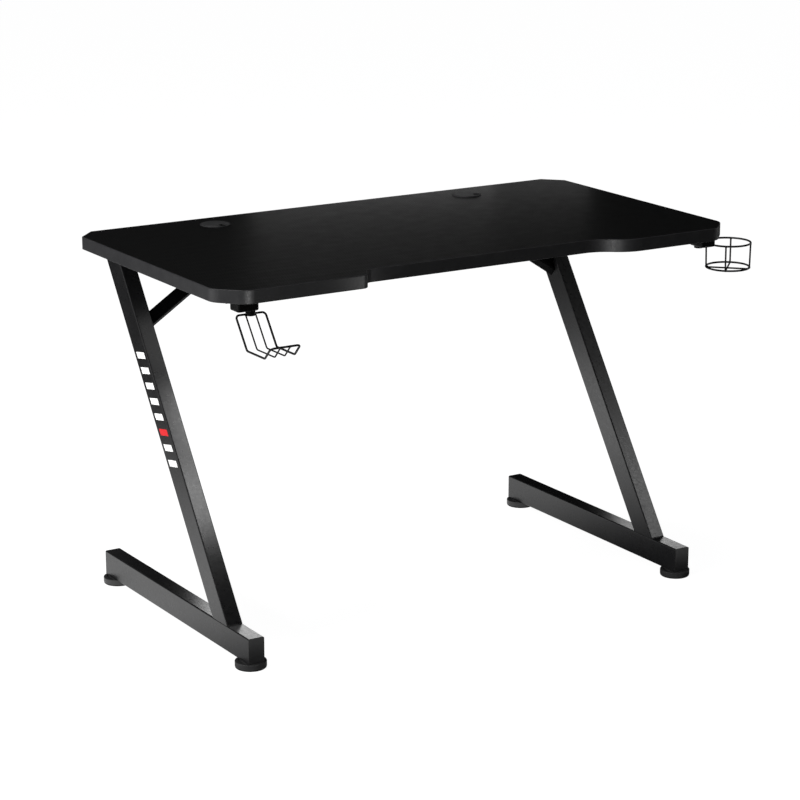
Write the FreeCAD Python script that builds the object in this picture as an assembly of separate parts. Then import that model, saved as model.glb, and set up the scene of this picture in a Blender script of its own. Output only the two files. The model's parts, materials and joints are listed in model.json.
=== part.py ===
import FreeCAD, Part
import math
import os

# A gaming desk on two leaning side frames, with a swivelling headphone hook and cup holder.
# Millimetres. The origin is on the floor under the middle of the top, midway between the side frames.
# +X is to the sitter's right, -Y is the sitter's side, +Z is up.

V = FreeCAD.Vector
X_AXIS = V(1, 0, 0)
Y_AXIS = V(0, 1, 0)
Z_AXIS = V(0, 0, 1)

# Desk top
desk_height = 730.0
top_width = 1140.0
top_depth = 620.0
core_thick = 24.0
laminate_thick = 1.0
band_thick = 2.0
band_round = 1.2
band_thin_edge = 0.4
front_chamfer_width = 45.0
front_chamfer_depth = 48.0
front_corner_round = 35.0
back_chamfer_width = 37.0
back_chamfer_depth = 38.0
back_corner_round = 6.0
recess_depth = 39.0
recess_left = -266.0
recess_left_slope = 62.0
recess_left_round = 16.0
recess_right = 286.0
recess_right_slope = 38.0
recess_right_round = 85.0

# Side frames of rectangular tube
leg_spread = 1020.0
tube_width = 33.0
tube_wall = 1.5
tube_round = 2.5
tube_inner_round = 1.0
frame_shift = 35.0
foot_length = 605.0
foot_height = 50.0
upright_depth = 50.0
upright_lean = 34.2
upright_setback = 82.0
beam_height = 22.0
beam_front_setback = 110.0
beam_back_reach = 4.0
plug_flange = 2.0
plug_spigot = 14.0
plug_wall = 2.0
plug_clearance = 0.1

# Cross rail and braces
rail_depth = 50.0
rail_plate_thick = 3.0
rail_plate_length = 100.0
rail_bolt_spacing = 76.0
brace_drop = 117.0
brace_rise = 33.0
brace_tall = 25.0
brace_thin = 20.0
tab_thick = 3.0
tab_width = 18.0
tab_length = 34.0
tab_bolt_inset = 11.0

# Machine bolts and what they screw into
bolt_radius = 3.0
bolt_head_radius = 5.5
bolt_head_height = 3.6
bolt_socket_radius = 2.3
bolt_socket_depth = 2.2
bolt_hole_clearance = 0.2
thread_clearance = 0.05
weld_nut_radius = 5.5
weld_nut_height = 6.0
bolt_tip = 2.0
insert_radius = 5.0
insert_length = 13.0
beam_bolt_inset = 100.0
beam_bolt_count = 3
rail_top_bolt_spacing = 300.0

# Levelling feet
pad_radius = 30.0
pad_height = 10.0
pad_round = 1.0
pad_dish_radius = 24.0
pad_dish_depth = 1.5
sole_thick = 3.0
sole_inset = 0.6
sole_chamfer = 1.0
pad_inset = 23.0
stem_radius = 4.0
stem_rise = 26.0
stem_base_radius = 10.0
stem_base_height = 3.0
stem_slot = 1.5
stem_play = 0.08
foot_nut_radius = 7.0
foot_nut_height = 10.0

# Cable grommets
grommet_spacing = 592.0
grommet_back_inset = 70.0
grommet_hole_radius = 25.0
grommet_flange_radius = 30.0
grommet_flange_height = 2.6
grommet_wall = 1.8
grommet_depth = 20.0
grommet_seat_radius = 27.0
grommet_seat_depth = 1.4
grommet_clearance = 0.2
cap_thick = 2.2
cap_round = 0.8
cap_skirt_wall = 1.5
cap_skirt_depth = 8.0
cap_notch_width = 16.0
cap_notch_depth = 14.0
left_cap_turn = -75.0
right_cap_turn = -41.0

# Accessory brackets under the front corners, one pattern used twice
bracket_flange_length = 76.0
bracket_flange_thick = 4.0
bracket_flange_round = 14.0
bracket_block_length = 44.0
bracket_depth = 34.0
bracket_pivot_offset = 12.0
bracket_height = 24.0
bracket_corner_round = 6.0
bracket_foot_round = 3.0
bracket_screw_spacing = 58.0
pivot_radius = 5.0
pivot_play = 0.05
pivot_lift = 0.3
pivot_pocket_radius = 9.0
pivot_pocket_depth = 6.0
pivot_head_radius = 7.5
pivot_head_height = 3.0
pivot_screw_radius = 2.0
pivot_screw_length = 12.0
boss_radius = 9.0
boss_round = 1.2
wood_screw_radius = 2.0
wood_screw_length = 14.0
wood_screw_head_radius = 4.0
wood_screw_tip_radius = 2.8
wood_screw_head_height = 2.2

# Headphone hook
hook_side_setback = 83.0
hook_front_setback = 58.0
hook_width = 60.0
hook_boss_height = 11.0
hook_bar_drop = 8.0
hook_fall = 56.0
hook_lean = 41.0
hook_arm = 65.0
hook_tip_rise = 22.0
hook_tip_run = 21.0
hook_frame_wire = 2.0
hook_inner_wire = 1.5
hook_inner_spacing = 20.0
hook_bend = 7.0

# Cup holder
cup_side_setback = 29.0
cup_front_setback = 80.0
cup_arm = 76.0
cup_radius = 44.5
cup_base_radius = 43.5
cup_height = 50.0
cup_boss_height = 6.0
cup_plane_drop = 3.2
cup_ring_wire = 2.0
cup_stay_wire = 1.75
cup_stay_turn = 45.0
cup_stay_drop = 0.5
cup_stay_lap = 2.2
cup_stay_bend = 6.0
tongue_width = 13.0
tongue_thick = 2.4
tongue_clearance = 0.1
tongue_start = 2.0

# Heights and places that follow from the sizes above
top_underside = desk_height - laminate_thick - core_thick
core_top = desk_height - laminate_thick
beam_bottom = top_underside - beam_height
brace_height = beam_bottom - brace_drop
foot_bottom = sole_thick + pad_height
foot_top = foot_bottom + foot_height
lean_slope = math.tan(math.radians(upright_lean))
upright_run = upright_depth / math.cos(math.radians(upright_lean))
upright_axis = V(0, math.sin(math.radians(upright_lean)), math.cos(math.radians(upright_lean)))
leg_centre_x = leg_spread / 2 - tube_width / 2
leg_inner_x = leg_spread / 2 - tube_width
foot_front = frame_shift - foot_length / 2
foot_back = frame_shift + foot_length / 2
beam_front = -top_depth / 2 + beam_front_setback
hook_x = -top_width / 2 + hook_side_setback
hook_y = -top_depth / 2 + hook_front_setback
cup_x = top_width / 2 - cup_side_setback
cup_y = -top_depth / 2 + cup_front_setback
reach = top_width + top_depth + desk_height
SIDES = {"left": -1, "right": 1}
ENDS = {"front": -1, "back": 1}


def upright_y(z):
    """Middle of the uprights at height z, along Y."""
    at_foot = foot_front + upright_setback + upright_run / 2
    return at_foot + (z - foot_top) * lean_slope


beam_back = upright_y(beam_bottom) + upright_run / 2 + beam_back_reach
rail_y = upright_y(brace_height)


def cylinder(radius, height, base, axis=Z_AXIS):
    return Part.makeCylinder(radius, height, base, axis)


def box_between(low, high):
    size = high - low
    return Part.makeBox(size.x, size.y, size.z, low)


def rounded_outline(corners):
    """Closed wire through the corners [(point, radius)], each rounded by a tangent arc."""
    edges = []
    starts = []
    ends = []
    for i, (point, radius) in enumerate(corners):
        before = (corners[i - 1][0] - point).normalize()
        after = (corners[(i + 1) % len(corners)][0] - point).normalize()
        half = before.getAngle(after) / 2
        run = radius / math.tan(half)
        middle = (before + after).normalize()
        crown = point + middle * (radius / math.sin(half) - radius)
        starts.append(point + before * run)
        ends.append(point + after * run)
        edges.append(Part.Arc(starts[-1], crown, ends[-1]).toShape())
    lines = []
    for i in range(len(corners)):
        lines.append(Part.makeLine(ends[i - 1], starts[i]))
    ordered = []
    for line, arc in zip(lines, edges):
        ordered += [line, arc]
    return Part.Wire(ordered)


def rounded_rectangle(centre, across, up, width, height, radius):
    corners = []
    for a, b in ((-1, -1), (1, -1), (1, 1), (-1, 1)):
        corners.append((centre + across * (a * width / 2) + up * (b * height / 2), radius))
    return rounded_outline(corners)


def bar(centre, across, up, width, height, radius, run):
    """Solid bar of rounded rectangular section, from centre along the vector run."""
    return Part.Face(rounded_rectangle(centre, across, up, width, height, radius)).extrude(run)


def tube(centre, across, up, width, height, run):
    """Rectangular tube with the frame's wall and corner rounding."""
    outer = bar(centre, across, up, width, height, tube_round, run)
    bore_width = width - 2 * tube_wall
    bore_height = height - 2 * tube_wall
    return outer.cut(bar(centre, across, up, bore_width, bore_height, tube_inner_round, run))


def rounded_path(points, radius):
    """Open wire through the points, with a tangent arc of the radius at each inner one."""
    edges = []
    last = points[0]
    for before, point, after in zip(points, points[1:], points[2:]):
        back = (before - point).normalize()
        on = (after - point).normalize()
        half = back.getAngle(on) / 2
        run = radius / math.tan(half)
        crown = point + (back + on).normalize() * (radius / math.sin(half) - radius)
        edges.append(Part.makeLine(last, point + back * run))
        edges.append(Part.Arc(point + back * run, crown, point + on * run).toShape())
        last = point + on * run
    edges.append(Part.makeLine(last, points[-1]))
    return Part.Wire(edges)


def rod(points, wire_radius, bend):
    """Round wire bent along the points."""
    path = rounded_path(points, bend)
    start = (points[1] - points[0]).normalize()
    section = Part.Wire(Part.Circle(points[0], start, wire_radius).toShape())
    return path.makePipeShell([section], True, False)


def circles_near(shape, centre):
    """Circular edges of the shape that lie around the centre."""
    circles = [e for e in shape.Edges if e.Curve.TypeId.endswith("Circle")]
    return [e for e in circles if e.Curve.Center.distanceToPoint(centre) < thread_clearance]


def bolt(seat, axis, length):
    """Pan head machine bolt: the head stands on the seat and the shank runs length along the axis."""
    crown = seat - axis * bolt_head_height
    head = cylinder(bolt_head_radius, bolt_head_height, seat, -axis)
    head = head.makeFillet(bolt_head_height / 3, circles_near(head, crown))
    whole = head.fuse(cylinder(bolt_radius, length, seat, axis)).removeSplitter()
    return whole.cut(cylinder(bolt_socket_radius, bolt_socket_depth, crown, axis))


def threaded_sleeve(outer_radius, height, base, axis, bore):
    return cylinder(outer_radius, height, base, axis).cut(cylinder(bore, height, base, axis))


# Desk top: core, carbon-pattern sheet and edge band
def top_corners():
    """Corners of the top's outline with their roundings, all the way round from the recess's left end."""
    side = top_width / 2
    front = -top_depth / 2
    back = top_depth / 2
    left_half = recess_depth / math.tan(math.radians(recess_left_slope)) / 2
    right_half = recess_depth / math.tan(math.radians(recess_right_slope)) / 2
    return [
        (V(recess_left - left_half, front, 0), recess_left_round),
        (V(recess_left + left_half, front + recess_depth, 0), recess_left_round),
        (V(recess_right - right_half, front + recess_depth, 0), recess_right_round),
        (V(recess_right + right_half, front, 0), recess_right_round),
        (V(side - front_chamfer_width, front, 0), front_corner_round),
        (V(side, front + front_chamfer_depth, 0), front_corner_round),
        (V(side, back - back_chamfer_depth, 0), back_corner_round),
        (V(side - back_chamfer_width, back, 0), back_corner_round),
        (V(back_chamfer_width - side, back, 0), back_corner_round),
        (V(-side, back - back_chamfer_depth, 0), back_corner_round),
        (V(-side, front + front_chamfer_depth, 0), front_corner_round),
        (V(front_chamfer_width - side, front, 0), front_corner_round),
    ]


def grommet_centre(side, z):
    return V(SIDES[side] * grommet_spacing / 2, top_depth / 2 - grommet_back_inset, z)


def beam_bolt_places():
    step = (beam_back - beam_front - 2 * beam_bolt_inset) / (beam_bolt_count - 1)
    for sign in SIDES.values():
        for i in range(beam_bolt_count):
            yield V(sign * leg_centre_x, beam_front + beam_bolt_inset + i * step, beam_bottom)


def rail_top_bolt_places():
    for sign in SIDES.values():
        yield V(sign * rail_top_bolt_spacing / 2, rail_y, beam_bottom)


def bracket_screw_places():
    for sign in (-1, 1):
        along = sign * bracket_screw_spacing / 2 - bracket_pivot_offset
        yield V(hook_x + along, hook_y, top_underside)
        yield V(cup_x, cup_y + along, top_underside)


outline = rounded_outline(top_corners())
inner_outline = outline.makeOffset2D(-band_thick)
top_bolts = list(beam_bolt_places()) + list(rail_top_bolt_places())


def desktop_board():
    board = Part.Face(inner_outline).extrude(V(0, 0, core_thick))
    board.translate(V(0, 0, top_underside))
    cuts = [cylinder(grommet_hole_radius, core_thick, grommet_centre(side, top_underside)) for side in SIDES]
    for place in top_bolts:
        mouth = V(place.x, place.y, top_underside)
        cuts.append(cylinder(insert_radius + thread_clearance, insert_length, mouth))
    pilot_depth = wood_screw_length - bracket_flange_thick + bolt_tip
    for place in bracket_screw_places():
        cuts.append(cylinder(wood_screw_radius + thread_clearance, pilot_depth, place))
    return board.cut(Part.makeCompound(cuts))


def desktop_laminate():
    sheet = Part.Face(inner_outline).extrude(V(0, 0, laminate_thick))
    sheet.translate(V(0, 0, core_top))
    hole_radius = grommet_flange_radius + grommet_clearance
    holes = [cylinder(hole_radius, laminate_thick, grommet_centre(side, core_top)) for side in SIDES]
    return sheet.cut(Part.makeCompound(holes))


def edge_band():
    height = core_thick + laminate_thick
    slab = Part.Face(outline).extrude(V(0, 0, height))
    rims = [e for e in slab.Edges if e.BoundBox.ZLength < band_thick / 2]
    slab = slab.makeFillet(min(band_round, band_thick - band_thin_edge), rims)
    ring = slab.cut(Part.Face(inner_outline).extrude(V(0, 0, height)))
    ring.translate(V(0, 0, top_underside))
    return ring


# Side frames
def foot_tube(sign):
    start = V(sign * leg_centre_x, foot_front + plug_flange, foot_bottom + foot_height / 2)
    foot = tube(start, X_AXIS, Z_AXIS, tube_width, foot_height, V(0, foot_length - 2 * plug_flange, 0))
    for y in pad_places():
        hole = cylinder(stem_radius + bolt_hole_clearance, tube_wall, V(sign * leg_centre_x, y, foot_bottom))
        foot = foot.cut(hole)
    return foot


def pad_places():
    return [foot_front + pad_inset, foot_back - pad_inset]


def upright_tube(sign):
    middle_z = (foot_top + beam_bottom) / 2
    middle = V(sign * leg_centre_x, upright_y(middle_z), middle_z)
    half = upright_axis * ((beam_bottom - foot_top) / 2 / upright_axis.z + upright_depth)
    across = X_AXIS.cross(upright_axis)
    upright = tube(middle - half, X_AXIS, across, tube_width, upright_depth, half * 2)
    kept = box_between(V(-reach, -reach, foot_top), V(reach, reach, beam_bottom))
    upright = upright.common(kept)
    hole_radius = bolt_radius + bolt_hole_clearance
    return upright.cut(cylinder(hole_radius, tube_wall, tab_bolt_place(sign), X_AXIS * sign))


def top_beam(sign):
    start = V(sign * leg_centre_x, beam_front + plug_flange, beam_bottom + beam_height / 2)
    run = V(0, beam_back - beam_front - 2 * plug_flange, 0)
    beam = tube(start, X_AXIS, Z_AXIS, tube_width, beam_height, run)
    cuts = []
    for place in beam_bolt_places():
        cuts.append(cylinder(bolt_radius + bolt_hole_clearance, beam_height, place))
    for place in rail_bolt_places(sign):
        cuts.append(cylinder(bolt_radius + bolt_hole_clearance, tube_wall, place, X_AXIS * sign))
    return beam.cut(Part.makeCompound(cuts))


def end_plug(sign, end, end_y, middle_z, height):
    """Moulded plug: a flange over the tube's end and a hollow spigot inside it."""
    centre = V(sign * leg_centre_x, end_y, middle_z)
    inward = V(0, -end, 0)
    flange = bar(centre, X_AXIS, Z_AXIS, tube_width, height, tube_round, inward * plug_flange)
    wide = tube_width - 2 * tube_wall - 2 * plug_clearance
    high = height - 2 * tube_wall - 2 * plug_clearance
    start = centre + inward * plug_flange
    spigot = bar(start, X_AXIS, Z_AXIS, wide, high, tube_inner_round, inward * plug_spigot)
    wide -= 2 * plug_wall
    high -= 2 * plug_wall
    hollow = bar(start, X_AXIS, Z_AXIS, wide, high, tube_inner_round, inward * plug_spigot)
    return flange.fuse(spigot.cut(hollow)).removeSplitter()


# Cross rail, its end plates and the braces
def rail_bolt_places(sign):
    z = beam_bottom + beam_height / 2
    return [V(sign * leg_inner_x, rail_y + k * rail_bolt_spacing / 2, z) for k in (-1, 1)]


def cross_rail():
    half = leg_inner_x - rail_plate_thick
    start = V(-half, rail_y, beam_bottom + beam_height / 2)
    rail = tube(start, Y_AXIS, Z_AXIS, rail_depth, beam_height, V(2 * half, 0, 0))
    hole_radius = bolt_radius + bolt_hole_clearance
    holes = [cylinder(hole_radius, beam_height, place) for place in rail_top_bolt_places()]
    return rail.cut(Part.makeCompound(holes))


def rail_plate(sign):
    centre = V(sign * leg_inner_x, rail_y, beam_bottom + beam_height / 2)
    inward = X_AXIS * -sign
    plate = bar(centre, Y_AXIS, Z_AXIS, rail_plate_length, beam_height, tube_round, inward * rail_plate_thick)
    holes = []
    for place in rail_bolt_places(sign):
        holes.append(cylinder(bolt_radius + bolt_hole_clearance, rail_plate_thick, place, inward))
    return plate.cut(Part.makeCompound(holes))


def brace_axes(sign):
    """Direction of the brace from the upright upwards, and the two sides of its section."""
    rise = math.radians(brace_rise)
    along = V(-sign * math.cos(rise), 0, math.sin(rise))
    roll = math.atan(lean_slope / math.cos(rise))
    level = V(sign * math.sin(rise), 0, math.cos(rise))
    front = level * math.sin(roll) - Y_AXIS * math.cos(roll)
    tall = level * math.cos(roll) + Y_AXIS * math.sin(roll)
    return along, front, tall


def brace_body(sign, wide, high, radius):
    along, front, tall = brace_axes(sign)
    foot = V(sign * leg_inner_x, rail_y, brace_height)
    length = (beam_bottom - brace_height) / along.z
    spare = brace_tall + brace_thin
    return bar(foot - along * spare, front, tall, wide, high, radius, along * (length + 2 * spare))


def brace(sign):
    """Tube cut off flush with the upright's inner face and the cross rail's underside."""
    outer = brace_body(sign, brace_thin, brace_tall, tube_round)
    inner = brace_body(sign, brace_thin - 2 * tube_wall, brace_tall - 2 * tube_wall, tube_inner_round)
    room = box_between(V(-leg_inner_x, -reach, 0), V(leg_inner_x, reach, beam_bottom))
    return outer.cut(inner).common(room)


def brace_end_length():
    """Length of the brace's cut end along the upright."""
    along = brace_axes(SIDES["right"])[0]
    return brace_tall / math.sqrt(1 - upright_axis.dot(along) ** 2) + brace_thin


def tab_centre(sign):
    """Middle of the brace's bolting tab, on the upright's inner face above the brace."""
    foot = V(sign * leg_inner_x, rail_y, brace_height)
    return foot + upright_axis * (brace_end_length() / 2 + tab_length / 2)


def tab_bolt_place(sign):
    return tab_centre(sign) + upright_axis * (tab_length / 2 - tab_bolt_inset)


def brace_tab(sign):
    """Flat tab welded to the brace's end: it reaches down to the brace and takes one bolt."""
    inward = X_AXIS * -sign
    across = X_AXIS.cross(upright_axis)
    length = tab_length + brace_end_length() / 2
    centre = tab_centre(sign) - upright_axis * ((length - tab_length) / 2)
    tab = bar(centre, across, upright_axis, tab_width, length, tube_round, inward * tab_thick)
    tab = tab.cut(brace_body(sign, brace_thin, brace_tall, tube_round))
    tab = max(tab.Solids, key=lambda solid: solid.CenterOfMass.z)
    return tab.cut(cylinder(bolt_radius + bolt_hole_clearance, tab_thick, tab_bolt_place(sign), inward))


# Bolts, weld nuts and threaded inserts
def rail_bolts():
    solids = []
    length = rail_plate_thick + tube_wall + weld_nut_height + bolt_tip
    for sign in SIDES.values():
        for place in rail_bolt_places(sign):
            seat = place - X_AXIS * (sign * rail_plate_thick)
            solids.append(bolt(seat, X_AXIS * sign, length))
    return Part.makeCompound(solids)


def weld_nut(wall_place, axis):
    """Nut welded inside a tube, against the wall that the bolt comes through."""
    base = wall_place + axis * tube_wall
    return threaded_sleeve(weld_nut_radius, weld_nut_height, base, axis, bolt_radius + thread_clearance)


def rail_nuts():
    places = [(place, sign) for sign in SIDES.values() for place in rail_bolt_places(sign)]
    return Part.makeCompound([weld_nut(place, X_AXIS * sign) for place, sign in places])


def brace_bolts():
    solids = []
    length = tab_thick + tube_wall + weld_nut_height + bolt_tip
    for sign in SIDES.values():
        seat = tab_bolt_place(sign) - X_AXIS * (sign * tab_thick)
        solids.append(bolt(seat, X_AXIS * sign, length))
    return Part.makeCompound(solids)


def brace_nuts():
    return Part.makeCompound([weld_nut(tab_bolt_place(sign), X_AXIS * sign) for sign in SIDES.values()])


def desktop_bolts():
    length = beam_height + insert_length - bolt_tip
    return Part.makeCompound([bolt(place, Z_AXIS, length) for place in top_bolts])


def desktop_inserts():
    solids = []
    for place in top_bolts:
        mouth = V(place.x, place.y, top_underside)
        bore = bolt_radius + thread_clearance
        solids.append(threaded_sleeve(insert_radius, insert_length, mouth, Z_AXIS, bore))
    return Part.makeCompound(solids)


# Levelling feet: the pad stands still on the floor while its threaded stem turns in it
def foot_nuts():
    solids = []
    for sign in SIDES.values():
        for y in pad_places():
            base = V(sign * leg_centre_x, y, foot_bottom + tube_wall)
            bore = stem_radius + thread_clearance
            solids.append(threaded_sleeve(foot_nut_radius, foot_nut_height, base, Z_AXIS, bore))
    return Part.makeCompound(solids)


def levelling_pad(x, y):
    pad = cylinder(pad_radius, pad_height, V(x, y, sole_thick))
    pad = pad.makeFillet(pad_round, circles_near(pad, V(x, y, foot_bottom)))
    dish = cylinder(pad_dish_radius, pad_dish_depth, V(x, y, foot_bottom - pad_dish_depth))
    seat = box_between(V(x - tube_width / 2, y - reach, 0), V(x + tube_width / 2, y + reach, reach))
    pad = pad.cut(dish.cut(seat))
    cavity = cylinder(stem_base_radius + stem_play, stem_base_height + 2 * stem_play, V(x, y, sole_thick))
    hole = cylinder(stem_radius + stem_play, pad_height, V(x, y, sole_thick))
    return pad.cut(cavity).cut(hole)


def pad_sole(x, y):
    sole = cylinder(pad_radius - sole_inset, sole_thick, V(x, y, 0))
    return sole.makeChamfer(sole_chamfer, circles_near(sole, V(x, y, 0)))


def pad_stem(x, y):
    base_z = sole_thick + stem_play
    base = cylinder(stem_base_radius, stem_base_height, V(x, y, base_z))
    top = foot_bottom + stem_rise
    shank = cylinder(stem_radius, top - base_z, V(x, y, base_z))
    low = V(x - stem_radius, y - stem_slot / 2, top - stem_slot)
    slot = box_between(low, low + V(2 * stem_radius, stem_slot, stem_slot))
    return base.fuse(shank).removeSplitter().cut(slot)


# Cable grommets
def grommet_sleeve(side):
    centre = grommet_centre(side, core_top)
    flange = cylinder(grommet_flange_radius, grommet_flange_height, centre)
    upper = circles_near(flange, centre + Z_AXIS * grommet_flange_height)
    flange = flange.makeFillet(grommet_flange_height / 3, upper)
    barrel_radius = grommet_hole_radius - grommet_clearance
    barrel = cylinder(barrel_radius, grommet_depth, centre - Z_AXIS * grommet_depth)
    height = grommet_depth + grommet_flange_height
    bore = cylinder(barrel_radius - grommet_wall, height, centre - Z_AXIS * grommet_depth)
    seat_z = core_top + grommet_flange_height - grommet_seat_depth
    seat = cylinder(grommet_seat_radius, grommet_seat_depth, grommet_centre(side, seat_z))
    return flange.fuse(barrel).removeSplitter().cut(bore).cut(seat)


def grommet_cap(side, turn):
    seat_z = core_top + grommet_flange_height - grommet_seat_depth + grommet_clearance / 2
    centre = grommet_centre(side, seat_z)
    disc = cylinder(grommet_seat_radius - grommet_clearance, cap_thick, centre)
    disc = disc.makeFillet(cap_round, circles_near(disc, centre + Z_AXIS * cap_thick))
    skirt_radius = grommet_hole_radius - grommet_wall - 2 * grommet_clearance
    skirt_base = centre - Z_AXIS * cap_skirt_depth
    skirt = cylinder(skirt_radius, cap_skirt_depth, skirt_base)
    skirt = skirt.cut(cylinder(skirt_radius - cap_skirt_wall, cap_skirt_depth, skirt_base))
    cap = disc.fuse(skirt).removeSplitter()
    half = cap_notch_width / 2
    notch_end = grommet_seat_radius - cap_notch_depth + half
    height = cap_skirt_depth + cap_thick
    notch = cylinder(half, height, skirt_base + X_AXIS * notch_end)
    low = skirt_base + V(notch_end, -half, 0)
    notch = notch.fuse(box_between(low, low + V(grommet_seat_radius, 2 * half, height)))
    notch.rotate(centre, Z_AXIS, turn)
    return cap.cut(notch)


# Accessory brackets and their pivots
def bracket(x, y, turn):
    """Block under the top that carries a pivot near one end, with a flange for two wood screws."""
    flange_z = top_underside - bracket_flange_thick
    foot_z = top_underside - bracket_height
    middle = x - bracket_pivot_offset
    flange = bar(V(middle, y, flange_z), X_AXIS, Y_AXIS, bracket_flange_length, bracket_depth,
                 bracket_flange_round, V(0, 0, bracket_flange_thick))
    block = bar(V(middle, y, foot_z), X_AXIS, Y_AXIS, bracket_block_length, bracket_depth,
                bracket_corner_round, V(0, 0, bracket_height - bracket_flange_thick))
    foot_edges = [e for e in block.Edges if e.BoundBox.ZMax < foot_z + bracket_foot_round / 2]
    block = block.makeFillet(bracket_foot_round, foot_edges)
    whole = flange.fuse(block).removeSplitter()
    cuts = [cylinder(pivot_radius + pivot_play, bracket_height, V(x, y, foot_z))]
    pocket_z = top_underside - pivot_pocket_depth
    cuts.append(cylinder(pivot_pocket_radius, pivot_pocket_depth, V(x, y, pocket_z)))
    for sign in (-1, 1):
        place = V(middle + sign * bracket_screw_spacing / 2, y, flange_z)
        cuts.append(cylinder(wood_screw_radius + bolt_hole_clearance, bracket_flange_thick, place))
    whole = whole.cut(Part.makeCompound(cuts))
    whole.rotate(V(x, y, 0), Z_AXIS, turn)
    return whole


def boss_top():
    return top_underside - bracket_height - pivot_lift


def shaft_top():
    """Top of the pivot shaft, a little above the floor of the bracket's pocket."""
    return top_underside - pivot_pocket_depth + pivot_lift


def pivot_boss(x, y, height):
    foot = V(x, y, boss_top() - height)
    boss = cylinder(boss_radius, height, foot)
    boss = boss.makeFillet(boss_round, circles_near(boss, foot))
    shaft = cylinder(pivot_radius, shaft_top() - boss_top(), V(x, y, boss_top()))
    screw_hole = cylinder(pivot_screw_radius + thread_clearance, pivot_screw_length + bolt_tip,
                          V(x, y, shaft_top()), -Z_AXIS)
    return boss.fuse(shaft).removeSplitter().cut(screw_hole)


def pivot_screw(x, y):
    head = cylinder(pivot_head_radius, pivot_head_height, V(x, y, shaft_top()))
    shank = cylinder(pivot_screw_radius, pivot_screw_length, V(x, y, shaft_top()), -Z_AXIS)
    socket = cylinder(pivot_screw_radius, pivot_head_height / 2, V(x, y, shaft_top() + pivot_head_height / 2))
    return head.fuse(shank).removeSplitter().cut(socket)


def bracket_screws():
    solids = []
    for place in bracket_screw_places():
        seat = place - Z_AXIS * bracket_flange_thick
        head = Part.makeCone(wood_screw_tip_radius, wood_screw_head_radius, wood_screw_head_height,
                             seat - Z_AXIS * wood_screw_head_height, Z_AXIS)
        shank = cylinder(wood_screw_radius, wood_screw_length, seat)
        solids.append(head.fuse(shank).removeSplitter())
    return Part.makeCompound(solids)


# Headphone hook: a bent wire rack clamped in its swivelling boss
def hook_bar_z():
    return boss_top() - hook_bar_drop


def hook_profile(x):
    """Corner points of one wire of the rack, from the top bar to the raised tip."""
    top = V(x, hook_y, hook_bar_z())
    low = top + V(0, -hook_lean, -hook_fall)
    front = low - Y_AXIS * hook_arm
    tip = front + V(0, -hook_tip_run, hook_tip_rise)
    return [top, low, front, tip]


def hook_swivel():
    boss = pivot_boss(hook_x, hook_y, hook_boss_height)
    start = V(hook_x - boss_radius, hook_y, hook_bar_z())
    return boss.cut(cylinder(hook_frame_wire + thread_clearance, 2 * boss_radius, start, X_AXIS))


def hook_rack():
    rack = []
    for sign in (-1, 1):
        side = hook_profile(hook_x + sign * hook_width / 2)
        path = [V(hook_x, side[0].y, side[0].z)] + side + [V(hook_x, side[-1].y, side[-1].z)]
        rack.append(rod(path, hook_frame_wire, hook_bend))
        inner = hook_profile(hook_x + sign * hook_inner_spacing / 2)
        rack.append(rod(inner, hook_inner_wire, hook_bend))
    return rack[0].fuse(rack[1:]).removeSplitter()


# Cup holder: a welded wire basket on a tongue that sits in its swivelling boss
def cup_plane_z():
    return boss_top() - cup_plane_drop


def tongue(wide, thick):
    start = V(cup_x + tongue_start, cup_y - wide / 2, cup_plane_z() - thick / 2)
    return box_between(start, start + V(cup_arm - cup_radius - tongue_start, wide, thick))


def cup_swivel():
    slot = tongue(tongue_width + 2 * tongue_clearance, tongue_thick + 2 * tongue_clearance)
    slot.translate(V(-tongue_clearance, 0, 0))
    return pivot_boss(cup_x, cup_y, cup_boss_height).cut(slot)


def cup_basket():
    centre = V(cup_x + cup_arm, cup_y, cup_plane_z())
    base = centre - Z_AXIS * cup_height
    upper_ring = Part.makeTorus(cup_radius, cup_ring_wire, centre)
    lower_ring = Part.makeTorus(cup_base_radius, cup_ring_wire, base)
    wires = []
    for i in range(2):
        turn = math.radians(cup_stay_turn + 90 * i)
        out = V(math.cos(turn), math.sin(turn), 0)
        floor = base - Z_AXIS * (cup_stay_drop + i * cup_stay_lap)
        points = [centre + out * cup_radius, floor + out * cup_base_radius]
        points += [floor - out * cup_base_radius, centre - out * cup_radius]
        wires.append(rod(points, cup_stay_wire, cup_stay_bend))
    return upper_ring.fuse([lower_ring, tongue(tongue_width, tongue_thick)] + wires).removeSplitter()


nodes = {
    "desktop_board": desktop_board(),
    "desktop_laminate": desktop_laminate(),
    "edge_band": edge_band(),
    "cross_rail": cross_rail(),
    "rail_bolts": rail_bolts(),
    "rail_nuts": rail_nuts(),
    "brace_bolts": brace_bolts(),
    "brace_nuts": brace_nuts(),
    "desktop_bolts": desktop_bolts(),
    "desktop_inserts": desktop_inserts(),
    "foot_nuts": foot_nuts(),
    "bracket_screws": bracket_screws(),
    "hook_bracket": bracket(hook_x, hook_y, 0),
    "hook_swivel": hook_swivel(),
    "hook_pivot_screw": pivot_screw(hook_x, hook_y),
    "hook_rack": hook_rack(),
    "cup_bracket": bracket(cup_x, cup_y, 90),
    "cup_swivel": cup_swivel(),
    "cup_pivot_screw": pivot_screw(cup_x, cup_y),
    "cup_basket": cup_basket(),
    "left_grommet_cap": grommet_cap("left", left_cap_turn),
    "right_grommet_cap": grommet_cap("right", right_cap_turn),
}
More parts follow.
